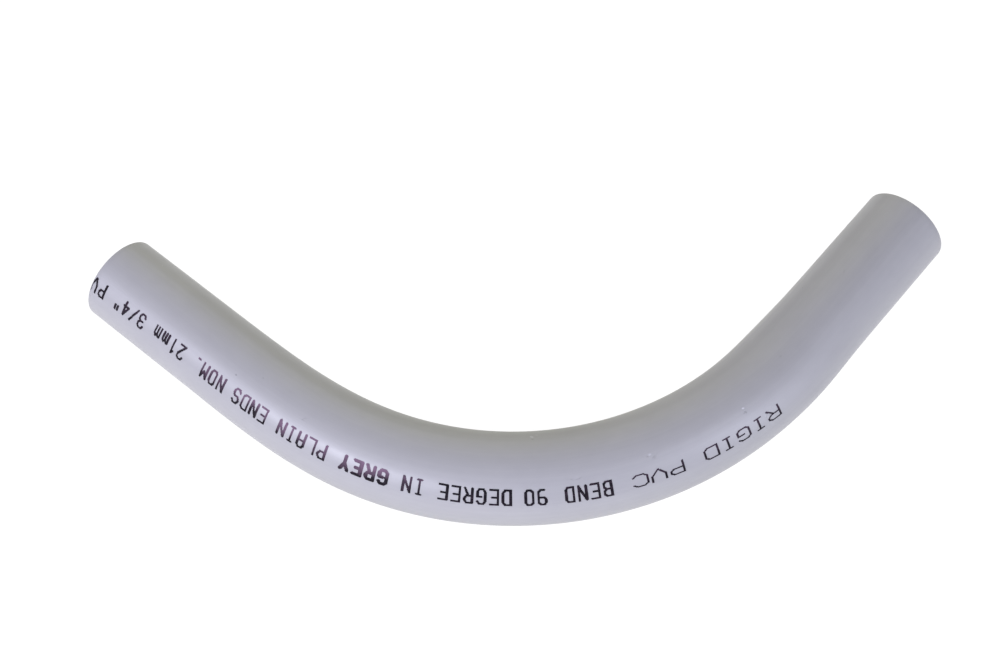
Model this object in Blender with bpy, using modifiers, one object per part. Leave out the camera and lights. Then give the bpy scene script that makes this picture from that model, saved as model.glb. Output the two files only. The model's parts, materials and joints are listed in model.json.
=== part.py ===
"""A plain-end 90 degree elbow of rigid PVC conduit, trade size 3/4 in (21 mm), lying on its side.

It is modelled the way it is made. A straight length of pipe is turned with square, deburred ends,
and is then bent: every point of the straight pipe is carried to its place beside the bent axis.
End A faces -X and end B faces +Y. The elbow rests on z = 0, and the origin is under the middle of
its bounding box. Lengths are in metres.
"""

import math

import bpy
from mathutils import Matrix, Vector

# The pipe, before it is bent. This is the section of a Schedule 40 pipe of this trade size.
OUTSIDE_DIAMETER = 0.02667
WALL = 0.00287
OUTER_DEBURR = 0.0004
BORE_DEBURR = 0.0003

# The bend. Its curvature grows evenly over the ease at each end, where the heated stretch began.
BEND_ANGLE = math.radians(90)
BEND_RADIUS = 0.1042
EASE_A = 0.054
EASE_B = 0.034
STRAIGHT_A = 0.0433
STRAIGHT_B = 0.0448

# Out of round, as a share of the radius: wider in the plane of the bend, and as much flatter across it.
BEND_OVALITY = 0.027
SWELL_B = 0.031
SWELL_REACH = 0.0138

# Facets
FACETS_ROUND = 40
RING_SPACING_STRAIGHT = 0.011
RING_SPACING_BEND = 0.0062
WALK_STEP = 0.0002

# Finish
PVC_GREY = (0.38, 0.38, 0.43, 1.0)
PVC_ROUGHNESS = 0.38

OUTER_RADIUS = OUTSIDE_DIAMETER / 2
BORE_RADIUS = OUTER_RADIUS - WALL
FULL_BEND = BEND_RADIUS * BEND_ANGLE - (EASE_A + EASE_B) / 2
BEND_START = STRAIGHT_A
BEND_END = STRAIGHT_A + EASE_A + FULL_BEND + EASE_B
PIPE_LENGTH = BEND_END + STRAIGHT_B
SWELL_AT = BEND_END - EASE_B / 2


def clear_scene():
    for old in list(bpy.data.objects):
        bpy.data.objects.remove(old)


def bend_share(along):
    """How fully the pipe is bent at this distance from end A: 0 on the legs and 1 in the bend."""
    easing_in = (along - BEND_START) / EASE_A
    easing_out = (BEND_END - along) / EASE_B
    return max(0.0, min(1.0, easing_in, easing_out))


def ovality(along):
    """Share of the radius that the section gains in the plane of the bend and loses across it."""
    swell = SWELL_B * math.exp(-(((along - SWELL_AT) / SWELL_REACH) ** 2))
    return BEND_OVALITY * bend_share(along) + swell


def walk_axis():
    """Walks the pipe's axis from end A, and returns (x, y, heading) at every step."""
    steps = round(PIPE_LENGTH / WALK_STEP)
    stride = PIPE_LENGTH / steps
    x, y, heading = 0.0, 0.0, 0.0
    walked = [(x, y, heading)]
    for step in range(steps):
        turn = stride * bend_share((step + 0.5) * stride) / BEND_RADIUS
        x += stride * math.cos(heading + turn / 2)
        y += stride * math.sin(heading + turn / 2)
        heading += turn
        walked.append((x, y, heading))
    return walked


def axis_at(walked, along):
    """The axis's (x, y, heading) at a distance from end A, between two steps of the walk."""
    place = along / PIPE_LENGTH * (len(walked) - 1)
    before = min(int(place), len(walked) - 2)
    share = place - before
    return [a + share * (b - a) for a, b in zip(walked[before], walked[before + 1])]


def even_rings(start, end, spacing):
    """Distances from start to end, both included, about this far apart."""
    count = max(1, round((end - start) / spacing))
    return [start + (end - start) * n / count for n in range(count + 1)]


def ring_distances():
    """Where the wall has a ring of corners, between the deburred ends."""
    curved_to = min(BEND_END + SWELL_REACH, PIPE_LENGTH - OUTER_DEBURR)
    leg_a = even_rings(OUTER_DEBURR, BEND_START, RING_SPACING_STRAIGHT)
    bend = even_rings(BEND_START, curved_to, RING_SPACING_BEND)
    leg_b = even_rings(curved_to, PIPE_LENGTH - OUTER_DEBURR, RING_SPACING_STRAIGHT)
    return leg_a[:-1] + bend + leg_b[1:]


def wall_profile():
    """The wall's outline as (radius, distance from end A): down the outside, and back up the bore."""
    rings = ring_distances()
    face_outer = OUTER_RADIUS - OUTER_DEBURR
    face_inner = BORE_RADIUS + BORE_DEBURR
    bore = [BORE_DEBURR] + rings[1:-1] + [PIPE_LENGTH - BORE_DEBURR]
    outside = [(face_outer, PIPE_LENGTH)]
    outside += [(OUTER_RADIUS, along) for along in reversed(rings)]
    outside += [(face_outer, 0.0)]
    inside = [(face_inner, 0.0)]
    inside += [(BORE_RADIUS, along) for along in bore]
    inside += [(face_inner, PIPE_LENGTH)]
    return outside + inside


def turn_straight_pipe(name):
    """A straight pipe about Z, from its profile and a Screw modifier."""
    corners = [(radius, 0.0, along) for radius, along in wall_profile()]
    edges = [(n, (n + 1) % len(corners)) for n in range(len(corners))]
    profile = bpy.data.meshes.new(name + "_profile")
    profile.from_pydata(corners, edges, [])
    pipe = bpy.data.objects.new(name, profile)
    screw = pipe.modifiers.new("turn", "SCREW")
    screw.axis = "Z"
    screw.steps = FACETS_ROUND
    screw.render_steps = FACETS_ROUND
    screw.use_merge_vertices = True
    screw.merge_threshold = 0.00001
    return pipe


def apply_modifiers(obj):
    """Gives obj the mesh that its modifiers make, and takes them off."""
    graph = bpy.context.evaluated_depsgraph_get()
    made = bpy.data.meshes.new_from_object(obj.evaluated_get(graph))
    obj.modifiers.clear()
    outline = obj.data
    obj.data = made
    bpy.data.meshes.remove(outline)
    made.name = obj.name


def bend_pipe(pipe, walked):
    """Carries each point of the straight pipe to its place beside the bent axis."""
    for vertex in pipe.data.vertices:
        inward, up, along = vertex.co
        x, y, heading = axis_at(walked, along)
        inward *= 1 + ovality(along)
        up *= 1 - ovality(along)
        vertex.co = (x - math.sin(heading) * inward, y + math.cos(heading) * inward, up)


def stand_on_origin(obj):
    """Moves the mesh so that the middle of its bounding box's base is at the origin."""
    corners = [vertex.co for vertex in obj.data.vertices]
    low = [min(co[axis] for co in corners) for axis in range(3)]
    high = [max(co[axis] for co in corners) for axis in range(3)]
    base = Vector(((low[0] + high[0]) / 2, (low[1] + high[1]) / 2, low[2]))
    obj.data.transform(Matrix.Translation(-base))


def pvc_material():
    material = bpy.data.materials.new("grey_pvc")
    material.use_nodes = True
    shader = material.node_tree.nodes["Principled BSDF"]
    shader.inputs["Base Color"].default_value = PVC_GREY
    shader.inputs["Roughness"].default_value = PVC_ROUGHNESS
    shader.inputs["Metallic"].default_value = 0.0
    return material


def build():
    clear_scene()
    collection = bpy.data.collections.new("pvc_conduit_elbow")
    bpy.context.scene.collection.children.link(collection)
    pipe = turn_straight_pipe("elbow_pipe")
    collection.objects.link(pipe)
    bpy.context.view_layer.update()
    apply_modifiers(pipe)
    bend_pipe(pipe, walk_axis())
    stand_on_origin(pipe)
    pipe.data.materials.append(pvc_material())
    pipe.data.shade_smooth()
    pipe.data.set_sharp_from_angle(angle=math.radians(30))


build()
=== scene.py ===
"""A plain-end elbow of grey PVC conduit, finished in detail and set in a plain studio.

The elbow is made the way the real one is. A straight length of pipe is drawn out, its ends are cut
and eased, a line of marking is jetted along it, and then the pipe and its marking are bent along one
path. The file is laid out as a Blender add-on and run as a script. Lengths are in metres.
"""

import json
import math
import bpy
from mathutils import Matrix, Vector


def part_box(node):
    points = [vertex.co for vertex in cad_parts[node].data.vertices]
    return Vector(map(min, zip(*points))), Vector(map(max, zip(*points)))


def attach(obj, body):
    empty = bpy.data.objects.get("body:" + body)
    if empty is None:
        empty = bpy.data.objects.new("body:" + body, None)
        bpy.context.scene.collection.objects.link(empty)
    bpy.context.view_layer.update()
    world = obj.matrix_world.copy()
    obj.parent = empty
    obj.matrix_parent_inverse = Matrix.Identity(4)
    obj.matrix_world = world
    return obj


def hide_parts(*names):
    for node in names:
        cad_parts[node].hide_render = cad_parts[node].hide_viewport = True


bl_info = {
    "name": "PVC Conduit Elbow",
    "version": (1, 0, 0),
    "blender": (4, 5, 0),
    "location": "3D Viewport > Sidebar > Conduit Elbow",
    "description": "Draws out, marks and bends a grey conduit elbow, and sets it in a studio",
    "category": "Object",
}

from typing import NamedTuple

import bmesh
import bpy
from bpy.props import FloatProperty, FloatVectorProperty, IntProperty, PointerProperty
from mathutils import Matrix, Vector, noise

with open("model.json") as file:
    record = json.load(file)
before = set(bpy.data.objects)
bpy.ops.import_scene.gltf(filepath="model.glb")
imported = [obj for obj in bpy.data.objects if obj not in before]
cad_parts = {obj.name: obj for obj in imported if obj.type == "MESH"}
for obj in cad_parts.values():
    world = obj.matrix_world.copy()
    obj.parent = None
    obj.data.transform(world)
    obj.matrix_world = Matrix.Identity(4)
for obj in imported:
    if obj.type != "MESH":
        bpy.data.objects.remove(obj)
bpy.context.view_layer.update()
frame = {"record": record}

PIPE_NODE = "elbow_pipe"
BODY = "root"
NODE_LOW, NODE_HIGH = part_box(PIPE_NODE)
MOUNT_AT = {mount["name"]: Vector(mount["pos_m"]) for mount in frame["record"]["mounts"]}


# ---------------------------------------------------------------- settings


class PipeSettings(bpy.types.PropertyGroup):
    """The pipe's sizes, and how it is bent."""

    outside_diameter: FloatProperty(
        name="Outside Diameter",
        description="Outside diameter of the round pipe",
        default=NODE_HIGH.z - NODE_LOW.z,
        min=0.005,
        unit="LENGTH",
    )
    wall: FloatProperty(
        name="Wall",
        description="Thickness of the pipe's wall",
        default=0.00287,
        min=0.0005,
        unit="LENGTH",
    )
    rim_easing: FloatProperty(
        name="Rim Easing",
        description="How far back the cut ends' outer rims are eased",
        default=0.0002,
        min=0.0,
        unit="LENGTH",
    )
    bore_easing: FloatProperty(
        name="Bore Easing",
        description="How far back the cut ends' inner rims are eased",
        default=0.0003,
        min=0.0,
        unit="LENGTH",
    )
    bend_angle: FloatProperty(
        name="Bend Angle",
        description="Angle that the whole bend turns through",
        default=math.radians(90),
        subtype="ANGLE",
    )
    bend_radius: FloatProperty(
        name="Bend Radius",
        description="Radius of the pipe's axis in the middle of the bend",
        default=0.1042,
        min=0.01,
        unit="LENGTH",
    )
    ease_a: FloatProperty(
        name="Ease A",
        description="Length over which the curvature grows beyond leg A",
        default=0.054,
        unit="LENGTH",
    )
    ease_b: FloatProperty(
        name="Ease B",
        description="Length over which the curvature dies away before leg B",
        default=0.034,
        unit="LENGTH",
    )
    straight_a: FloatProperty(
        name="Straight A",
        description="Straight length of leg A",
        default=0.0433,
        unit="LENGTH",
    )
    straight_b: FloatProperty(
        name="Straight B",
        description="Straight length of leg B",
        default=0.0448,
        unit="LENGTH",
    )
    ovality: FloatProperty(
        name="Ovality",
        description="Share of the radius that the bend gains in its plane and loses across it",
        default=0.027,
        subtype="FACTOR",
    )
    swell: FloatProperty(
        name="Swell",
        description="Further ovality where the bend meets leg B",
        default=0.031,
        subtype="FACTOR",
    )
    swell_reach: FloatProperty(
        name="Swell Reach",
        description="How far along the pipe that swell spreads to each side",
        default=0.0138,
        unit="LENGTH",
    )
    facets: IntProperty(
        name="Facets",
        description="Number of facets round the pipe",
        default=128,
        min=16,
    )
    ring_spacing: FloatProperty(
        name="Ring Spacing",
        description="Distance between the rings of points along the pipe",
        default=0.002,
        min=0.0005,
        unit="LENGTH",
    )


class FinishSettings(bpy.types.PropertyGroup):
    """The colours and gloss of the pipe and its marking."""

    pvc_colour: FloatVectorProperty(
        name="PVC Colour",
        description="Colour of the grey PVC",
        default=(0.413, 0.41, 0.413),
        subtype="COLOR",
        size=3,
        min=0.0,
        max=1.0,
    )
    pvc_shade: FloatVectorProperty(
        name="PVC Shade",
        description="Darker grey of the faint lengthwise lines",
        default=(0.365, 0.36, 0.37),
        subtype="COLOR",
        size=3,
        min=0.0,
        max=1.0,
    )
    # This pale grey also paints the lit side of some dents: a painted highlight.
    pvc_pale: FloatVectorProperty(
        name="PVC Pale",
        description="Whitened grey of nicks, scuffs and sawn faces",
        default=(0.56, 0.56, 0.585),
        subtype="COLOR",
        size=3,
        min=0.0,
        max=1.0,
    )
    pvc_roughness: FloatProperty(
        name="PVC Roughness",
        description="Roughness of the drawn surface",
        default=0.44,
        subtype="FACTOR",
        min=0.0,
        max=1.0,
    )
    ink_colour: FloatVectorProperty(
        name="Ink Colour",
        description="Colour of the marking where the ink is full",
        default=(0.0045, 0.004, 0.006),
        subtype="COLOR",
        size=3,
        min=0.0,
        max=1.0,
    )
    # This purplish colour is partly ink rubbed thin and partly painted glare on the black ink.
    ink_thin_and_glare_colour: FloatVectorProperty(
        name="Thin Ink Colour",
        description="Colour of the marking where the ink has thinned",
        default=(0.19, 0.12, 0.175),
        subtype="COLOR",
        size=3,
        min=0.0,
        max=1.0,
    )


class MarkingSettings(bpy.types.PropertyGroup):
    """The sizes of the jetted letters, and where their line runs."""

    drop: FloatProperty(
        name="Drop",
        description="Pitch of the ink drops",
        default=0.0002,
        min=0.00005,
        unit="LENGTH",
    )
    ink_height: FloatProperty(
        name="Ink Height",
        description="How far the dried ink stands above the pipe",
        default=0.00003,
        unit="LENGTH",
    )
    line_angle: FloatProperty(
        name="Line Angle",
        description="Angle of the line's middle above the heel, half way along the pipe",
        default=math.radians(42.4),
        subtype="ANGLE",
    )
    line_drift: FloatProperty(
        name="Line Drift",
        description="How far the line turns round the pipe for each metre along it, half way along",
        default=math.radians(-55.5),
        subtype="ANGLE",
    )
    line_bow: FloatProperty(
        name="Line Bow",
        description="How fast that drift grows along the pipe",
        default=math.radians(-220),
        subtype="ANGLE",
    )


class StageSettings(bpy.types.PropertyGroup):
    """The floor, the lights and the camera."""

    camera_aim: FloatVectorProperty(
        name="Camera Aim",
        description="Point that the camera looks at",
        default=(0.00844, -0.01779, 0.01334),
        subtype="XYZ",
        unit="LENGTH",
        size=3,
    )
    camera_distance: FloatProperty(
        name="Camera Distance",
        description="Distance from the camera to that point",
        default=0.5649,
        unit="LENGTH",
    )
    camera_azimuth: FloatProperty(
        name="Camera Azimuth",
        description="Turn of the camera about the vertical, from looking along +Y",
        default=math.radians(42.79),
        subtype="ANGLE",
    )
    camera_elevation: FloatProperty(
        name="Camera Elevation",
        description="Height of the camera above the horizontal",
        default=math.radians(61.05),
        subtype="ANGLE",
    )
    camera_roll: FloatProperty(
        name="Camera Roll",
        description="Turn of the camera about its own line of sight",
        default=math.radians(-3.05),
        subtype="ANGLE",
    )
    focal_length: FloatProperty(
        name="Focal Length",
        description="Focal length of the lens, in millimetres",
        default=67.62,
    )
    floor_colour: FloatVectorProperty(
        name="Floor Colour",
        description="How much of the lamps' light the floor returns, beside its own white glow",
        default=(0.065, 0.065, 0.065),
        subtype="COLOR",
        size=3,
        min=0.0,
        max=1.0,
    )


def settings():
    """All the settings, as one group for each subject."""
    scene = bpy.context.scene
    return scene.conduit_pipe, scene.conduit_finish, scene.conduit_marking, scene.conduit_stage


# ---------------------------------------------------------------- the pipe's shape


def bend_start(pipe):
    """Where leg A ends, as a distance along the pipe from end A."""
    return pipe.straight_a


def bend_end(pipe):
    """Where leg B begins, as a distance along the pipe from end A."""
    full_bend = pipe.bend_radius * pipe.bend_angle - (pipe.ease_a + pipe.ease_b) / 2
    return pipe.straight_a + pipe.ease_a + full_bend + pipe.ease_b


def pipe_length(pipe):
    return bend_end(pipe) + pipe.straight_b


def bend_share(pipe, along):
    """How fully the pipe is bent at this distance from end A: 0 on the legs and 1 in the bend."""
    easing_in = (along - bend_start(pipe)) / pipe.ease_a
    easing_out = (bend_end(pipe) - along) / pipe.ease_b
    return max(0.0, min(1.0, easing_in, easing_out))


def section_at(pipe, along):
    """Scale of the round section in the plane of the bend, and across it."""
    swell_at = bend_end(pipe) - pipe.ease_b / 2
    swell = pipe.swell * math.exp(-(((along - swell_at) / pipe.swell_reach) ** 2))
    oval = pipe.ovality * bend_share(pipe, along) + swell
    return 1 + oval, 1 - oval


def point_on_pipe(pipe, along, angle, lift=0.0):
    """A point on the straight pipe. Its angle is 0 at the heel and 90 degrees on top."""
    wide, flat = section_at(pipe, along)
    radius = pipe.outside_diameter / 2
    across = -math.cos(angle) * (radius * wide + lift)
    up = math.sin(angle) * (radius * flat + lift)
    return Vector((along, across, up))


def path_points(pipe, spacing=0.001):
    """Points along the bent axis, from end A to end B."""
    steps = round(pipe_length(pipe) / spacing)
    stride = pipe_length(pipe) / steps
    end_a = MOUNT_AT["end_face_a"]
    place = Vector((end_a.x, end_a.y, NODE_LOW.z + pipe.outside_diameter / 2))
    heading = 0.0
    points = [place.copy()]
    for step in range(steps):
        turn = stride * bend_share(pipe, (step + 0.5) * stride) / pipe.bend_radius
        middle = heading + turn / 2
        place += Vector((math.cos(middle), math.sin(middle), 0)) * stride
        heading += turn
        points.append(place.copy())
    return points


# ---------------------------------------------------------------- modelling helpers


def deselect_everything():
    bpy.ops.object.select_all(action="DESELECT")


def name_piece(name):
    """Names the object that was just added, and returns it."""
    piece = bpy.context.object
    piece.name = name
    piece.data.name = name
    return piece


def make_active(piece):
    deselect_everything()
    piece.select_set(True)
    bpy.context.view_layer.objects.active = piece


def edit(piece, kind="VERT"):
    """Opens the piece in edit mode with nothing selected, and returns its bmesh."""
    make_active(piece)
    bpy.ops.object.mode_set(mode="EDIT")
    bpy.ops.mesh.select_mode(type=kind)
    bpy.ops.mesh.select_all(action="DESELECT")
    return bmesh.from_edit_mesh(piece.data)


def pick(piece, mesh, elements, wanted):
    """Selects those elements for which wanted is true, of which there has to be at least one."""
    picked = [element for element in elements if wanted(element)]
    if not picked:
        raise RuntimeError(f"nothing was picked on {piece.name}")
    for element in picked:
        element.select_set(True)
    mesh.select_flush_mode()
    bmesh.update_edit_mesh(piece.data)


def leave_edit():
    bpy.ops.object.mode_set(mode="OBJECT")


def apply_modifier(piece, kind, **values):
    """Adds a modifier to the piece, gives it these values and applies it."""
    make_active(piece)
    bpy.ops.object.modifier_add(type=kind)
    modifier = piece.modifiers[-1]
    for name, value in values.items():
        setattr(modifier, name, value)
    bpy.ops.object.modifier_apply(modifier=modifier.name)


def remember_straight(piece):
    """Keeps every point's place on the straight pipe, for patterns that ran along it before bending."""
    places = [0.0] * (3 * len(piece.data.vertices))
    piece.data.vertices.foreach_get("co", places)
    kept = piece.data.attributes.new("straight", "FLOAT_VECTOR", "POINT")
    kept.data.foreach_set("vector", places)


def bend_with_path(piece, pipe):
    """Bends a piece of the straight pipe along the elbow's axis."""
    remember_straight(piece)
    points = path_points(pipe)
    curve = bpy.data.curves.new("bend_path", "CURVE")
    curve.dimensions = "3D"
    curve.twist_mode = "Z_UP"
    spline = curve.splines.new("POLY")
    spline.points.add(len(points) - 1)
    for target, place in zip(spline.points, points):
        target.co = (*place, 1)
    path = bpy.data.objects.new("bend_path", curve)
    bpy.context.collection.objects.link(path)
    bpy.context.view_layer.update()
    apply_modifier(piece, "CURVE", object=path, deform_axis="POS_X")
    bpy.data.objects.remove(path)
    bpy.data.curves.remove(curve)


def smooth(piece, degrees=30):
    make_active(piece)
    bpy.ops.object.shade_smooth_by_angle(angle=math.radians(degrees))


# ---------------------------------------------------------------- materials

PVC_IOR = 1.53
INK_IOR = 1.5
INK_SPECULAR = 0.12
NOISE_LOW, NOISE_HIGH = 0.3, 0.7

# The lines that the die leaves: how dense they are along and across the pipe, and their shares.
COARSE_LINES, COARSE_SHARE = (2.5, 420.0, 420.0), 0.65
FINE_LINES, FINE_SHARE = (9.0, 2600.0, 2600.0), 0.35
LINES_LOW, LINES_HIGH = 0.36, 0.64

# The drawn wall: how far lines, cloud and mottle darken it, how uneven its gloss is, and its relief.
LINES_TINT, CLOUD_TINT, MOTTLE_TINT = 0.38, 0.18, 0.22
CLOUD_DENSITY, MOTTLE_DENSITY = 55.0, 330.0
MOTTLE_STRETCH = (0.6, 1.0, 1.0)
UNEVEN_GLOSS = 0.05
WALL_RELIEF, WALL_RELIEF_HEIGHT = 0.35, 0.00002
# How dark the pits are, and how dark the dark marks are: grime, and on some dents painted shade.
PIT_SHADE, GRIME_AND_PAINTED_SHADE = 0.45, 0.2

# The bore beside the outside: its painted shade, a darkening of its colour that stands in for the
# shadow inside the pipe, its extra roughness and its relief.
BORE_PAINTED_SHADE, BORE_ROUGHER, BORE_RELIEF = 0.92, 0.06, 0.6

# The sawn faces: the density of the saw's scores and grain, and their gloss and relief.
SAW_SCORES, SAW_GRAIN = (300.0, 350.0, 5200.0), 2400.0
SAW_LOW, SAW_HIGH = 0.32, 0.68
SAW_ROUGHNESS = (0.55, 0.75)
SAW_RELIEF, SAW_RELIEF_HEIGHT, SAW_GRAIN_SHARE = 0.8, 0.00012, 0.4

# The ink: how dense its patches are, what they add to its purplish share of rubbing and painted glare,
# its gloss, and how the lines show.
INK_PATCHES, INK_PATCHES_LOW, INK_PATCHES_HIGH = 900.0, 0.35, 0.75
INK_PATCH_WEAR_AND_GLARE = (-0.12, 0.16)
INK_ROUGHNESS = (0.5, 0.65)
INK_LINES, INK_LINES_TINT = 0.5, 0.12


class Specks(NamedTuple):
    """Scattered specks: their spacing, size, the share of places filled, and how strongly they show."""

    spacing: float
    size: float
    amount: float
    strength: float


WALL_DUST = Specks(0.006, 0.045, 0.25, 0.35)
WALL_PITS = Specks(0.009, 0.03, 0.3, 0.45)
SAWN_DUST = Specks(0.0016, 0.12, 0.3, 0.4)


def new_material(name):
    """An empty material with its Principled shader, and its node tree."""
    material = bpy.data.materials.new(name)
    material.use_nodes = True
    return material, material.node_tree, material.node_tree.nodes["Principled BSDF"]


def add_node(tree, kind, inputs=None, **values):
    """Adds a node with these values. An input is a socket to link from, or a value."""
    node = tree.nodes.new(kind)
    for name, value in values.items():
        setattr(node, name, value)
    for name, value in (inputs or {}).items():
        if isinstance(value, bpy.types.NodeSocket):
            tree.links.new(value, node.inputs[name])
        else:
            node.inputs[name].default_value = value
    return node


def new_group(name, inputs, outputs):
    """A shader node group with these sockets, and its input and output nodes."""
    group = bpy.data.node_groups.new(name, "ShaderNodeTree")
    for socket, kind, default in inputs:
        made = group.interface.new_socket(name=socket, in_out="INPUT", socket_type=kind)
        if default is not None:
            made.default_value = default
    for socket, kind in outputs:
        group.interface.new_socket(name=socket, in_out="OUTPUT", socket_type=kind)
    return group, group.nodes.new("NodeGroupInput"), group.nodes.new("NodeGroupOutput")


def use_group(tree, group, inputs):
    return add_node(tree, "ShaderNodeGroup", inputs, node_tree=group)


def stretched(tree, place, scale):
    """The place with each direction scaled by its own factor."""
    return add_node(
        tree, "ShaderNodeVectorMath", {0: place, 1: scale}, operation="MULTIPLY"
    ).outputs["Vector"]


def noise_at(tree, place, scale, detail=2.0, roughness=0.5):
    """A smooth noise between 0 and 1."""
    return add_node(
        tree,
        "ShaderNodeTexNoise",
        {"Vector": place, "Scale": scale, "Detail": detail, "Roughness": roughness},
        noise_dimensions="3D",
    ).outputs["Fac"]


def full_noise(tree, place, scale, detail=2.0):
    """A noise stretched to fill 0 to 1."""
    return spread(tree, noise_at(tree, place, scale, detail), NOISE_LOW, NOISE_HIGH)


def spread(tree, value, low, high, to_low=0.0, to_high=1.0):
    """The value with low to high carried to to_low to to_high, and held there outside it."""
    return add_node(
        tree,
        "ShaderNodeMapRange",
        {"Value": value, "From Min": low, "From Max": high, "To Min": to_low, "To Max": to_high},
        clamp=True,
    ).outputs["Result"]


def calculate(tree, operation, first, second):
    return add_node(
        tree, "ShaderNodeMath", {0: first, 1: second}, operation=operation
    ).outputs["Value"]


def multiplied(tree, first, second):
    return calculate(tree, "MULTIPLY", first, second)


def weighted_sum(tree, *parts):
    """The sum of values, each given with its weight."""
    total = 0.0
    for value, weight in parts:
        total = calculate(tree, "ADD", total, multiplied(tree, value, weight))
    return total


def mixed_colour(tree, share, first, second):
    """The first colour, with this share of the second. A colour is a socket or three numbers."""
    node = add_node(tree, "ShaderNodeMix", data_type="RGBA", blend_type="MIX")
    for index, value in ((0, share), (6, first), (7, second)):
        if isinstance(value, bpy.types.NodeSocket):
            tree.links.new(value, node.inputs[index])
        elif index == 0:
            node.inputs[index].default_value = value
        else:
            node.inputs[index].default_value = (*value, 1.0)
    return node.outputs[2]


def drawn_lines_group():
    """Faint lines that the die leaves along a drawn pipe, coarse and fine."""
    group, given, result = new_group(
        "drawn_lines",
        [("Place", "NodeSocketVector", None), ("Strength", "NodeSocketFloat", 1.0)],
        [("Lines", "NodeSocketFloat"), ("Height", "NodeSocketFloat")],
    )
    place = given.outputs["Place"]
    strength = given.outputs["Strength"]
    coarse = noise_at(group, stretched(group, place, COARSE_LINES), 1.0, 3.0, 0.6)
    fine = noise_at(group, stretched(group, place, FINE_LINES), 1.0, 2.0)
    both = weighted_sum(group, (coarse, COARSE_SHARE), (fine, FINE_SHARE))
    lines = spread(group, both, LINES_LOW, LINES_HIGH)
    group.links.new(multiplied(group, lines, strength), result.inputs["Lines"])
    group.links.new(multiplied(group, both, strength), result.inputs["Height"])
    return group


def specks_group():
    """Scattered round specks, such as dust in the plastic or small pits."""
    group, given, result = new_group(
        "specks",
        [
            ("Place", "NodeSocketVector", None),
            ("Spacing", "NodeSocketFloat", 0.004),
            ("Size", "NodeSocketFloat", 0.05),
            ("Amount", "NodeSocketFloat", 0.3),
        ],
        [("Specks", "NodeSocketFloat")],
    )
    scale = calculate(group, "DIVIDE", 1.0, given.outputs["Spacing"])
    cells = add_node(
        group,
        "ShaderNodeTexVoronoi",
        {"Vector": given.outputs["Place"], "Scale": scale, "Randomness": 1.0},
        voronoi_dimensions="3D",
        feature="F1",
    )
    near = add_node(
        group,
        "ShaderNodeMapRange",
        {
            "Value": cells.outputs["Distance"],
            "From Min": multiplied(group, given.outputs["Size"], 0.4),
            "From Max": given.outputs["Size"],
            "To Min": 1.0,
            "To Max": 0.0,
        },
        clamp=True,
    ).outputs["Result"]
    cell_number = add_node(group, "ShaderNodeSeparateColor", {"Color": cells.outputs["Color"]})
    chosen = calculate(group, "LESS_THAN", cell_number.outputs["Red"], given.outputs["Amount"])
    group.links.new(multiplied(group, near, chosen), result.inputs["Specks"])
    return group


def speckled(tree, groups, place, specks, colour, speck_colour):
    """The colour, with specks of a second colour scattered over it."""
    scattered = use_group(
        tree,
        groups["specks"],
        {
            "Place": place,
            "Spacing": specks.spacing,
            "Size": specks.size,
            "Amount": specks.amount,
        },
    )
    share = multiplied(tree, scattered.outputs["Specks"], specks.strength)
    return mixed_colour(tree, share, colour, speck_colour)


def straight_place(tree):
    """Each point's place on the pipe before it was bent."""
    return add_node(
        tree, "ShaderNodeAttribute", attribute_type="GEOMETRY", attribute_name="straight"
    ).outputs["Vector"]


def painted(tree, name):
    """A number painted on the mesh's points."""
    return add_node(
        tree, "ShaderNodeAttribute", attribute_type="GEOMETRY", attribute_name=name
    ).outputs["Fac"]


def wall_material(name, finish, groups, shade, roughness, relief):
    """The drawn PVC wall, outside or in the bore."""
    material, tree, shader = new_material(name)
    place = straight_place(tree)
    drawn = use_group(tree, groups["lines"], {"Place": place, "Strength": 1.0})
    lines = drawn.outputs["Lines"]
    cloud = full_noise(tree, place, CLOUD_DENSITY, 3.0)
    mottle = full_noise(tree, stretched(tree, place, MOTTLE_STRETCH), MOTTLE_DENSITY)
    # The shade factor darkens the colour. For the bore this darkening is painted shade.
    body = Vector(finish.pvc_colour) * shade
    dark = Vector(finish.pvc_shade) * shade
    tint = weighted_sum(tree, (lines, LINES_TINT), (cloud, CLOUD_TINT), (mottle, MOTTLE_TINT))
    colour = mixed_colour(tree, tint, body, dark)
    colour = speckled(tree, groups, place, WALL_DUST, colour, finish.pvc_pale)
    colour = speckled(tree, groups, place, WALL_PITS, colour, dark * PIT_SHADE)
    # The marks: pale where nicks are whitened and dark where there is grime, and on some dents a
    # painted highlight on the lit side and painted shade on the shaded side.
    marked = painted(tree, "mark_tone_and_dent_shading")
    colour = mixed_colour(tree, spread(tree, marked, 0.0, 1.0), colour, finish.pvc_pale)
    colour = mixed_colour(tree, spread(tree, marked, 0.0, -1.0), colour, dark * GRIME_AND_PAINTED_SHADE)
    tree.links.new(colour, shader.inputs["Base Color"])
    dull = weighted_sum(tree, (lines, UNEVEN_GLOSS), (cloud, UNEVEN_GLOSS))
    dull = calculate(tree, "ADD", dull, roughness - UNEVEN_GLOSS)
    tree.links.new(dull, shader.inputs["Roughness"])
    bump = add_node(
        tree,
        "ShaderNodeBump",
        {
            "Strength": relief,
            "Distance": WALL_RELIEF_HEIGHT,
            "Height": drawn.outputs["Height"],
        },
    )
    tree.links.new(bump.outputs["Normal"], shader.inputs["Normal"])
    shader.inputs["IOR"].default_value = PVC_IOR
    shader.inputs["Metallic"].default_value = 0.0
    return material


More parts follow.
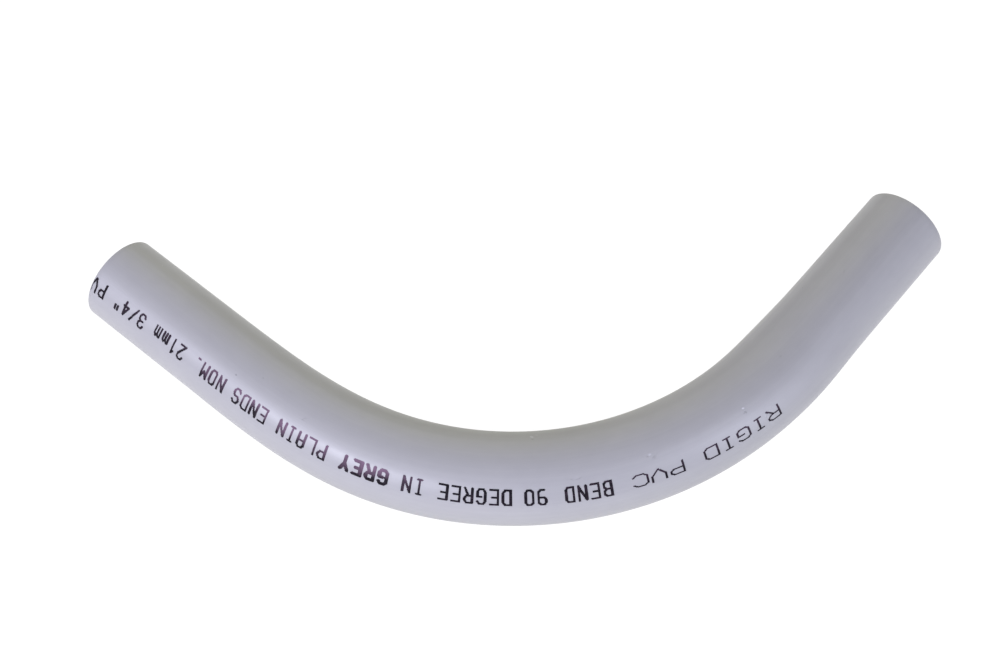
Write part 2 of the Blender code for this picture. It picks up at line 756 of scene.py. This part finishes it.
def sawn_material(finish, groups):
    """A cut end: matt, paler, and scored across by the saw's teeth."""
    material, tree, shader = new_material("sawn_pvc")
    place = straight_place(tree)
    scores = noise_at(tree, stretched(tree, place, SAW_SCORES), 1.0, 3.0, 0.65)
    grain = noise_at(tree, place, SAW_GRAIN, 2.0)
    scored = spread(tree, scores, SAW_LOW, SAW_HIGH)
    colour = mixed_colour(tree, scored, finish.pvc_shade, finish.pvc_pale)
    colour = speckled(tree, groups, place, SAWN_DUST, colour, finish.pvc_shade)
    tree.links.new(colour, shader.inputs["Base Color"])
    dull = spread(tree, grain, NOISE_LOW, NOISE_HIGH, *SAW_ROUGHNESS)
    tree.links.new(dull, shader.inputs["Roughness"])
    bump = add_node(
        tree,
        "ShaderNodeBump",
        {
            "Strength": SAW_RELIEF,
            "Distance": SAW_RELIEF_HEIGHT,
            "Height": weighted_sum(tree, (scores, 1.0), (grain, SAW_GRAIN_SHARE)),
        },
    )
    tree.links.new(bump.outputs["Normal"], shader.inputs["Normal"])
    shader.inputs["IOR"].default_value = PVC_IOR
    return material


def ink_material(finish, groups):
    """Dried solvent ink, near black. It is purplish partly where it is rubbed thin and partly where a
    glare on it is painted into its colour.
    """
    material, tree, shader = new_material("print_ink")
    place = straight_place(tree)
    patches = noise_at(tree, place, INK_PATCHES, 3.0, 0.6)
    patchy = spread(tree, patches, INK_PATCHES_LOW, INK_PATCHES_HIGH, *INK_PATCH_WEAR_AND_GLARE)
    # The purplish share: rubbing and patches, together with painted glare on the words under the lamps'
    # highlights.
    worn_and_glared = calculate(tree, "ADD", painted(tree, "ink_wear_and_glare"), patchy)
    share = spread(tree, worn_and_glared, 0.0, 1.0)
    colour = mixed_colour(tree, share, finish.ink_colour, finish.ink_thin_and_glare_colour)
    drawn = use_group(tree, groups["lines"], {"Place": place, "Strength": INK_LINES})
    lined = multiplied(tree, drawn.outputs["Lines"], INK_LINES_TINT)
    colour = mixed_colour(tree, lined, colour, finish.ink_thin_and_glare_colour)
    tree.links.new(colour, shader.inputs["Base Color"])
    dull = spread(tree, patches, NOISE_LOW, NOISE_HIGH, *INK_ROUGHNESS)
    tree.links.new(dull, shader.inputs["Roughness"])
    shader.inputs["IOR"].default_value = INK_IOR
    shader.inputs["Specular IOR Level"].default_value = INK_SPECULAR
    return material


def shared_groups():
    """The effects that several materials use, built once."""
    made = {"lines": ("drawn_lines", drawn_lines_group), "specks": ("specks", specks_group)}
    return {key: bpy.data.node_groups.get(name) or build() for key, (name, build) in made.items()}


# ---------------------------------------------------------------- the pipe


class Mark(NamedTuple):
    """A nick, rub, speck or dent: its place, half sizes, turn, depth, and tone from dark (-1) to pale
    (1). On some dents a pale tone is a painted highlight and a dark tone is painted shade.
    """

    along: float
    angle: float
    half_length: float
    half_width: float
    turn: float
    depth: float
    tone: float


# Most marks are the pipe's own whitened nicks and rubs and its dark specks. The pale and dark marks set
# side by side near 0.148, 0.180 and 0.209 paint a dent's lit side pale and its shaded side dark: a
# painted highlight and painted shade.
MARKS = (
    Mark(0.0567, 67.5, 0.00035, 0.00030, 0.0, 0.00002, -0.80),
    Mark(0.0640, 84.5, 0.00032, 0.00026, 0.0, 0.00002, -0.30),
    Mark(0.0815, 71.0, 0.00100, 0.00030, 40.0, 0.00001, -0.12),
    Mark(0.1480, 127.0, 0.00100, 0.00065, -50.0, 0.00012, 0.85),
    Mark(0.1495, 131.0, 0.00090, 0.00040, -50.0, 0.00006, 0.40),
    Mark(0.1482, 120.5, 0.00060, 0.00035, 0.0, 0.00002, -0.22),
    Mark(0.1592, 62.5, 0.00120, 0.00050, 5.0, 0.00001, 0.10),
    Mark(0.1799, 67.5, 0.00060, 0.00045, 20.0, 0.00006, 0.60),
    Mark(0.1808, 63.8, 0.00085, 0.00042, 25.0, 0.00003, -0.20),
    Mark(0.2092, 66.0, 0.00058, 0.00045, 10.0, 0.00012, 0.95),
    Mark(0.2093, 61.8, 0.00055, 0.00042, 0.0, 0.00003, -0.32),
    Mark(0.2138, 41.0, 0.00100, 0.00016, 60.0, 0.00004, 0.30),
    Mark(0.2158, 44.5, 0.00120, 0.00018, 55.0, 0.00004, 0.32),
    Mark(0.2284, 86.0, 0.00060, 0.00040, 0.0, 0.00001, -0.12),
    Mark(0.2631, 97.5, 0.00120, 0.00030, 30.0, 0.00001, -0.10),
    Mark(0.0310, 205.0, 0.00160, 0.00022, 12.0, 0.00005, 0.40),
    Mark(0.0930, 226.0, 0.00060, 0.00045, 0.0, 0.00010, 0.55),
    Mark(0.1260, 268.0, 0.00350, 0.00070, 4.0, 0.00003, 0.45),
    Mark(0.1710, 262.0, 0.00280, 0.00060, -6.0, 0.00003, 0.40),
    Mark(0.1420, 338.0, 0.00180, 0.00024, 35.0, 0.00005, 0.38),
    Mark(0.2240, 189.0, 0.00090, 0.00030, -25.0, 0.00006, 0.45),
    Mark(0.2550, 300.0, 0.00050, 0.00036, 0.0, 0.00009, 0.60),
)

# A mark's shape: how finely the wall is divided there, how far out it reaches in half sizes, the lip
# round its bowl, and how wide its tone is. Marks stay clear of the eased ends.
MARK_CUTS = 7
MARK_EDGE = 1.4
LIP_AT, LIP_WIDTH, LIP_SHARE = 1.15, 0.12, 0.25
TONE_FILL = 1.6
CLEAR_OF_ENDS = 0.001

# How near to a cut end a point counts as lying on it, and the places of two materials on the tube.
AT_END = 0.00001
BORE_MATERIAL, SAWN_MATERIAL = 1, 2


def draw_out(pipe):
    """Draws an open tube out along +X from end A, ring by ring, oval where it will be bent."""
    deselect_everything()
    bpy.ops.mesh.primitive_circle_add(
        vertices=pipe.facets,
        radius=pipe.outside_diameter / 2,
        fill_type="NOTHING",
        rotation=(0, math.pi / 2, 0),
    )
    bpy.ops.object.transform_apply(location=True, rotation=True, scale=True)
    tube = name_piece("conduit_elbow")
    bpy.ops.object.mode_set(mode="EDIT")
    bpy.ops.mesh.select_all(action="SELECT")
    rings = round(pipe_length(pipe) / pipe.ring_spacing)
    stride = pipe_length(pipe) / rings
    wide, flat = 1.0, 1.0
    for ring in range(1, rings + 1):
        bpy.ops.mesh.extrude_edges_move(TRANSFORM_OT_translate={"value": (stride, 0, 0)})
        new_wide, new_flat = section_at(pipe, ring * stride)
        bpy.ops.transform.resize(
            value=(1, new_wide / wide, new_flat / flat),
            center_override=(ring * stride, 0, 0),
        )
        wide, flat = new_wide, new_flat
    bpy.ops.mesh.select_all(action="SELECT")
    bpy.ops.mesh.normals_make_consistent(inside=False)
    leave_edit()
    return tube


def radius_of(place):
    """The distance of a place on the straight pipe from the pipe's axis."""
    return math.hypot(place.y, place.z)


def ease_rims(tube, pipe):
    """Rounds the four rims of the cut ends."""
    length = pipe_length(pipe)
    middle = (pipe.outside_diameter - pipe.wall) / 2

    def on_rim(edge, outer):
        """Whether an edge runs round an end, on its outer or its inner rim."""
        for corner in edge.verts:
            at_end = min(abs(corner.co.x), abs(corner.co.x - length)) < AT_END
            if not at_end or (radius_of(corner.co) > middle) != outer:
                return False
        return True

    for outer, easing in ((True, pipe.rim_easing), (False, pipe.bore_easing)):
        mesh = edit(tube, "EDGE")
        pick(tube, mesh, mesh.edges, lambda edge: on_rim(edge, outer))
        bpy.ops.mesh.bevel(offset=easing, offset_type="OFFSET", segments=3, affect="EDGES")
        leave_edit()


def in_mark(pipe, mark, place):
    """How far a point is from a mark's middle, in half sizes, with 1 at the mark's edge."""
    angle = math.atan2(place.z, -place.y)
    away = math.remainder(angle - math.radians(mark.angle), math.tau) * pipe.outside_diameter / 2
    along = place.x - mark.along
    turn = math.radians(mark.turn)
    lengthwise = along * math.cos(turn) + away * math.sin(turn)
    sideways = away * math.cos(turn) - along * math.sin(turn)
    return math.hypot(lengthwise / mark.half_length, sideways / mark.half_width)


def press_marks(tube, pipe):
    """Cuts each mark into the outside, and keeps how pale or dark it is as an attribute. On some dents
    that paleness is a painted highlight and that darkness is painted shade.
    """
    outside = pipe.outside_diameter / 2 - pipe.wall / 2
    middles = [point_on_pipe(pipe, mark.along, math.radians(mark.angle)) for mark in MARKS]

    def near_a_mark(face):
        centre = face.calc_center_median()
        if radius_of(centre) < outside:
            return False
        for mark, middle in zip(MARKS, middles):
            if (centre - middle).length < mark.half_length + pipe.ring_spacing:
                return True
        return False

    mesh = edit(tube, "FACE")
    pick(tube, mesh, mesh.faces, near_a_mark)
    bpy.ops.mesh.subdivide(number_cuts=MARK_CUTS, quadcorner="INNERVERT")
    leave_edit()
    mesh = tube.data
    tones = mesh.attributes.new("mark_tone_and_dent_shading", "FLOAT", "POINT")
    last = pipe_length(pipe) - CLEAR_OF_ENDS
    for vertex in mesh.vertices:
        if radius_of(vertex.co) < outside or not CLEAR_OF_ENDS < vertex.co.x < last:
            continue
        angle = math.atan2(vertex.co.z, -vertex.co.y)
        lift, tone = 0.0, 0.0
        for mark in MARKS:
            far = in_mark(pipe, mark, vertex.co)
            if far < MARK_EDGE:
                bowl = math.cos(min(far, 1.0) * math.pi / 2) ** 2
                lip = LIP_SHARE * math.exp(-(((far - LIP_AT) / LIP_WIDTH) ** 2))
                lift += mark.depth * (lip - bowl)
                tone += mark.tone * min(1.0, bowl * TONE_FILL)
        tones.data[vertex.index].value = tone
        if lift:
            vertex.co = point_on_pipe(pipe, vertex.co.x, angle, lift)


def dress_pipe(tube, pipe, finish):
    """Gives the outside, the bore and the sawn ends their materials."""
    groups = shared_groups()
    gloss = finish.pvc_roughness
    bore_gloss = gloss + BORE_ROUGHER
    outside = wall_material("grey_pvc", finish, groups, 1.0, gloss, WALL_RELIEF)
    # The bore is a darker copy of the outside's material: painted shade inside the pipe.
    bore = wall_material("grey_pvc_bore", finish, groups, BORE_PAINTED_SHADE, bore_gloss, BORE_RELIEF)
    for material in (outside, bore, sawn_material(finish, groups)):
        tube.data.materials.append(material)
    length = pipe_length(pipe)
    middle = (pipe.outside_diameter - pipe.wall) / 2
    for face in tube.data.polygons:
        from_end = min(face.center.x, length - face.center.x)
        if abs(face.normal.x) > 0.9 and from_end < 10 * AT_END:
            face.material_index = SAWN_MATERIAL
        elif radius_of(face.center) < middle:
            face.material_index = BORE_MATERIAL


class CONDUIT_OT_make_pipe(bpy.types.Operator):
    """Draw out, trim, mark and bend the pipe"""

    bl_idname = "conduit.make_pipe"
    bl_label = "Make Pipe"

    def execute(self, context):
        pipe, finish, _, _ = settings()
        tube = draw_out(pipe)
        apply_modifier(
            tube, "SOLIDIFY", thickness=pipe.wall, offset=-1.0, use_even_offset=True, use_rim=True
        )
        ease_rims(tube, pipe)
        press_marks(tube, pipe)
        dress_pipe(tube, pipe, finish)
        bend_with_path(tube, pipe)
        smooth(tube)
        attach(tube, BODY)
        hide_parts(PIPE_NODE)
        return {"FINISHED"}


# ---------------------------------------------------------------- the marking

# Each letter is drawn with straight strokes on a grid four units wide and six high. A stroke is a
# run of points, each given as its column and its row.
LETTER_COLUMNS, LETTER_ROWS = 4, 6
STROKES = {
    "A": "00 05 16 36 45 40, 03 43",
    "B": "00 06 36 45 44 33 03, 33 42 41 30 00",
    "C": "45 36 16 05 01 10 30 41",
    "D": "00 06 36 45 41 30 00",
    "E": "40 00 06 46, 03 33",
    "G": "45 36 16 05 01 10 30 41 43 23",
    "I": "10 30, 16 36, 20 26",
    "L": "06 00 40",
    "M": "00 06 23 46 40",
    "N": "00 06 40 46",
    "O": "01 05 16 36 45 41 30 10 01",
    "P": "00 06 36 45 44 33 03",
    "R": "00 06 36 45 44 33 03, 23 40",
    "S": "45 36 16 05 04 13 33 42 41 30 10 01",
    "V": "06 03 20 43 46",
    "Y": "06 23 46, 23 20",
    "m": "00 04 14 23 20, 23 34 43 40",
    "0": "01 05 16 36 45 41 30 10 01",
    "1": "15 26 20",
    "2": "05 16 36 45 44 00 40",
    "3": "05 16 36 45 44 33 13, 33 42 41 30 10 01",
    "4": "30 36 02 42",
    "9": "43 13 04 05 16 36 45 41 30 10",
    "/": "00 46",
    '"': "14 16, 34 36",
    ".": "10 20",
}


class Style(NamedTuple):
    """How letters are drawn: their size, the stroke's width each way, and their pitch."""

    width: float
    height: float
    stroke_along: float
    stroke_round: float
    pitch: float


class Word(NamedTuple):
    """A word of the marking, with where it starts and how purplish its ink is, partly from rubbing and
    partly as painted glare.
    """

    name: str
    text: str
    start: float
    style: Style
    thinned_and_glare: float


PLAIN = Style(0.0027, 0.00505, 0.00071, 0.00066, 0.00332)
BOLD = Style(0.0031, 0.00505, 0.00104, 0.00092, 0.00363)
WIDE = Style(0.0044, 0.0039, 0.00064, 0.0004, 0.00506)

# The last number of each word is highest on the words that lie in the lamps' highlights: it is partly
# rubbed ink and partly painted glare.
MESSAGE = (
    Word("mark_rigid_pvc", "RIGID PVC", 0.2184, WIDE, 0.25),
    Word("mark_bend", "BEND", 0.1683, PLAIN, 0.1),
    Word("mark_90", "90", 0.1512, PLAIN, 0.0),
    Word("mark_degree", "DEGREE", 0.1421, PLAIN, 0.0),
    Word("mark_in", "IN", 0.1191, PLAIN, 0.45),
    Word("mark_grey", "GREY", 0.1094, BOLD, 0.95),
    Word("mark_plain_ends", "PLAIN ENDS", 0.0913, PLAIN, 0.9),
    Word("mark_nominal", "NOM.", 0.0554, PLAIN, 0.8),
    Word("mark_size", '21mm 3/4"', 0.0390, PLAIN, 0.15),
    Word("mark_cut_off", "PV", 0.0057, PLAIN, 0.0),
)


# How the ink's purplish share is laid, partly rubbing and partly painted glare: its patches along and
# round the pipe, and its growth towards the letters' feet.
PATCHES_ALONG, PATCHES_ROUND, WEAR_AND_GLARE_PATCHINESS = 260.0, 1.5, 0.5
WEAR_AND_GLARE_GROWTH, WEAR_AND_GLARE_DELAY = 1.35, 0.2
INK_CLEARANCE = 0.000004


def strokes_of(letter, style):
    """The letter's strokes as pairs of points, from its lower left corner."""
    column = (style.width - style.stroke_along) / LETTER_COLUMNS
    row = (style.height - style.stroke_round) / LETTER_ROWS
    left, base = style.stroke_along / 2, style.stroke_round / 2
    pairs = []
    for run in STROKES[letter].split(", "):
        points = [
            Vector((left + int(point[0]) * column, base + int(point[1]) * row))
            for point in run.split()
        ]
        pairs += list(zip(points, points[1:]))
    return pairs


def inked(place, pairs, style):
    """Whether a drop at this place falls on one of the strokes."""
    for start, end in pairs:
        run = end - start
        share = max(0.0, min(1.0, (place - start).dot(run) / run.length_squared))
        away = place - (start + share * run)
        if math.hypot(away.x / style.stroke_along, away.y / style.stroke_round) <= 0.5:
            return True
    return False


def jet_word(word, marking):
    """The word's drops, as small square faces of a flat sheet whose x runs along the letters."""
    style = word.style
    length = style.pitch * (len(word.text) - 1) + style.width
    columns = round(length / marking.drop)
    rows = round(style.height / marking.drop)
    deselect_everything()
    bpy.ops.mesh.primitive_grid_add(
        x_subdivisions=columns,
        y_subdivisions=rows,
        size=1,
        location=(length / 2, style.height / 2, 0),
    )
    sheet = name_piece(word.name)
    sheet.scale = (length, style.height, 1)
    bpy.ops.object.transform_apply(location=True, rotation=True, scale=True)
    letters = {
        index: strokes_of(letter, style)
        for index, letter in enumerate(word.text)
        if letter != " "
    }

    def blank(face):
        centre = face.calc_center_median().xy
        index = min(int(centre.x / style.pitch), len(word.text) - 1)
        if index not in letters:
            return True
        return not inked(centre - Vector((index * style.pitch, 0)), letters[index], style)

    mesh = edit(sheet, "FACE")
    pick(sheet, mesh, mesh.faces, blank)
    bpy.ops.mesh.delete(type="FACE")
    leave_edit()
    return sheet


def line_angle(marking, pipe, along):
    """Where the middle of the marking lies round the pipe. It drifts a little from end to end."""
    past_middle = along - pipe_length(pipe) / 2
    return marking.line_angle + marking.line_drift * past_middle + marking.line_bow * past_middle**2


def lay_on_pipe(sheet, word, marking, pipe):
    """Lays the flat word on the straight pipe, with its letters' tops towards the heel."""
    # Each point gets its share of purplish ink, partly rubbing and partly painted glare.
    wear_and_glare = sheet.data.attributes.new("ink_wear_and_glare", "FLOAT", "POINT")
    radius = pipe.outside_diameter / 2
    for vertex in sheet.data.vertices:
        along = word.start - vertex.co.x
        up = vertex.co.y - word.style.height / 2
        angle = line_angle(marking, pipe, along) - up / radius
        low = 1 - vertex.co.y / word.style.height
        patch = noise.noise(Vector((along * PATCHES_ALONG, low * PATCHES_ROUND, 0.5)))
        worn_and_glared = low * WEAR_AND_GLARE_GROWTH - WEAR_AND_GLARE_DELAY + patch * WEAR_AND_GLARE_PATCHINESS
        wear_and_glare.data[vertex.index].value = word.thinned_and_glare * max(0.0, min(1.0, worn_and_glared))
        vertex.co = point_on_pipe(pipe, along, angle, INK_CLEARANCE)


def trim_at_cut(sheet, pipe):
    """Takes away what would lie past the sawn end."""

    def past_end(face):
        return face.calc_center_median().x < pipe.rim_easing

    mesh = edit(sheet, "FACE")
    if any(past_end(face) for face in mesh.faces):
        pick(sheet, mesh, mesh.faces, past_end)
        bpy.ops.mesh.delete(type="FACE")
    leave_edit()


class CONDUIT_OT_print_marking(bpy.types.Operator):
    """Jet the line of marking along the pipe and bend it with the pipe"""

    bl_idname = "conduit.print_marking"
    bl_label = "Print Marking"

    def execute(self, context):
        pipe, finish, marking, _ = settings()
        ink = ink_material(finish, shared_groups())
        for word in MESSAGE:
            sheet = jet_word(word, marking)
            lay_on_pipe(sheet, word, marking, pipe)
            trim_at_cut(sheet, pipe)
            apply_modifier(sheet, "SOLIDIFY", thickness=marking.ink_height, offset=1.0)
            sheet.data.materials.append(ink)
            bend_with_path(sheet, pipe)
            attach(sheet, BODY)
        return {"FINISHED"}


# ---------------------------------------------------------------- the stage


class Lamp(NamedTuple):
    """A soft box: its size, where it stands as seen from the elbow, its power and its colour."""

    name: str
    width: float
    height: float
    azimuth: float
    elevation: float
    distance: float
    power: float
    colour: tuple


LAMPS = (
    Lamp("front_softbox", 0.71, 0.16, -8.1, 33.9, 0.8, 7.5, (0.83, 0.83, 1.0)),
    Lamp("side_softbox", 0.3, 3.1, 99.7, 27.5, 3.0, 71.0, (0.8, 0.82, 1.0)),
    Lamp("back_softbox", 1.03, 1.6, 210.0, 22.8, 1.2, 7.4, (1.0, 0.99, 0.72)),
)


def towards(azimuth, elevation):
    """The direction of a place at this azimuth, which is 0 on the -Y side, and elevation."""
    level = math.cos(elevation)
    return Vector((math.sin(azimuth) * level, -math.cos(azimuth) * level, math.sin(elevation)))


def facing_turn(azimuth, elevation):
    """The turn of a camera or lamp that stands there and looks back at the middle."""
    return Matrix.Rotation(azimuth, 4, "Z") @ Matrix.Rotation(math.pi / 2 - elevation, 4, "X")


# The floor: its radius, the width of its outer ring, and how dark its faint mottling is.
FLOOR_RADIUS, FLOOR_RIM = 4.0, 2.5
FLOOR_SHADE = 0.985

WHITE = (1.0, 1.0, 1.0, 1.0)
ROOM_COLOUR, ROOM_STRENGTH = (1.0, 0.98, 0.95, 1.0), 0.02
SENSOR_WIDTH = 36.0


def lay_floor(stage):
    """A wide round floor of white paper, lit from within so that it stays white under the elbow."""
    deselect_everything()
    bpy.ops.mesh.primitive_circle_add(vertices=96, radius=FLOOR_RADIUS, fill_type="NGON")
    floor = name_piece("paper_floor")
    bpy.ops.object.mode_set(mode="EDIT")
    bpy.ops.mesh.select_all(action="SELECT")
    bpy.ops.mesh.inset(thickness=FLOOR_RIM)
    leave_edit()
    material, tree, shader = new_material("white_paper")
    place = add_node(tree, "ShaderNodeTexCoord").outputs["Object"]
    tone = full_noise(tree, place, 3.0)
    pale = Vector(stage.floor_colour)
    colour = mixed_colour(tree, tone, pale, pale * FLOOR_SHADE)
    tree.links.new(colour, shader.inputs["Base Color"])
    shader.inputs["Emission Color"].default_value = WHITE
    shader.inputs["Roughness"].default_value = 0.9
    shader.inputs["Specular IOR Level"].default_value = 0.0
    shader.inputs["Emission Strength"].default_value = 1.0
    floor.data.materials.append(material)


def hang_lamps(stage):
    """Large soft boxes round the elbow."""
    aim = Vector(stage.camera_aim)
    for lamp in LAMPS:
        azimuth, elevation = math.radians(lamp.azimuth), math.radians(lamp.elevation)
        light = bpy.data.lights.new(lamp.name, "AREA")
        light.shape = "RECTANGLE"
        light.size = lamp.width
        light.size_y = lamp.height
        light.energy = lamp.power
        light.color = lamp.colour
        holder = bpy.data.objects.new(lamp.name, light)
        bpy.context.scene.collection.objects.link(holder)
        place = aim + towards(azimuth, elevation) * lamp.distance
        holder.matrix_world = Matrix.Translation(place) @ facing_turn(azimuth, elevation)


def light_room():
    """A dim, slightly warm room, seen by the camera as plain white."""
    world = bpy.data.worlds.new("studio_room")
    bpy.context.scene.world = world
    world.use_nodes = True
    tree = world.node_tree
    tree.nodes.clear()
    room = add_node(
        tree, "ShaderNodeBackground", {"Color": ROOM_COLOUR, "Strength": ROOM_STRENGTH}
    )
    white = add_node(tree, "ShaderNodeBackground", {"Color": WHITE, "Strength": 1.0})
    rays = add_node(tree, "ShaderNodeLightPath")
    mix = add_node(
        tree,
        "ShaderNodeMixShader",
        {0: rays.outputs["Is Camera Ray"], 1: room.outputs[0], 2: white.outputs[0]},
    )
    add_node(tree, "ShaderNodeOutputWorld", {"Surface": mix.outputs[0]})


def set_camera(stage):
    """The camera, at the angle that the elbow is shown from."""
    lens = bpy.data.cameras.new("studio_camera")
    lens.lens = stage.focal_length
    lens.sensor_width = SENSOR_WIDTH
    lens.clip_start = 0.01
    camera = bpy.data.objects.new("studio_camera", lens)
    bpy.context.scene.collection.objects.link(camera)
    direction = towards(stage.camera_azimuth, stage.camera_elevation)
    place = Vector(stage.camera_aim) + direction * stage.camera_distance
    turn = facing_turn(stage.camera_azimuth, stage.camera_elevation)
    roll = Matrix.Rotation(stage.camera_roll, 4, "Z")
    camera.matrix_world = Matrix.Translation(place) @ turn @ roll
    bpy.context.scene.camera = camera


class CONDUIT_OT_set_stage(bpy.types.Operator):
    """Lay the floor, hang the lamps and place the camera"""

    bl_idname = "conduit.set_stage"
    bl_label = "Set Stage"

    def execute(self, context):
        stage = settings()[3]
        lay_floor(stage)
        hang_lamps(stage)
        light_room()
        set_camera(stage)
        context.scene.view_settings.view_transform = "Standard"
        return {"FINISHED"}


class CONDUIT_PT_elbow(bpy.types.Panel):
    """Settings and steps of the conduit elbow"""

    bl_idname = "CONDUIT_PT_elbow"
    bl_label = "Conduit Elbow"
    bl_space_type = "VIEW_3D"
    bl_region_type = "UI"
    bl_category = "Conduit Elbow"

    def draw(self, context):
        for group in settings():
            box = self.layout.box()
            for name in type(group).__annotations__:
                box.prop(group, name)
        for operator in OPERATORS:
            self.layout.operator(operator.bl_idname)


OPERATORS = (CONDUIT_OT_make_pipe, CONDUIT_OT_print_marking, CONDUIT_OT_set_stage)
SETTINGS = (
    ("conduit_pipe", PipeSettings),
    ("conduit_finish", FinishSettings),
    ("conduit_marking", MarkingSettings),
    ("conduit_stage", StageSettings),
)


def register():
    for name, group in SETTINGS:
        bpy.utils.register_class(group)
        setattr(bpy.types.Scene, name, PointerProperty(type=group))
    for operator in OPERATORS:
        bpy.utils.register_class(operator)
    bpy.utils.register_class(CONDUIT_PT_elbow)


def unregister():
    bpy.utils.unregister_class(CONDUIT_PT_elbow)
    for operator in reversed(OPERATORS):
        bpy.utils.unregister_class(operator)
    for name, group in reversed(SETTINGS):
        delattr(bpy.types.Scene, name)
        bpy.utils.unregister_class(group)


def main():
    register()
    bpy.ops.conduit.make_pipe()
    bpy.ops.conduit.print_marking()
    bpy.ops.conduit.set_stage()


if __name__ == "__main__":
    main()
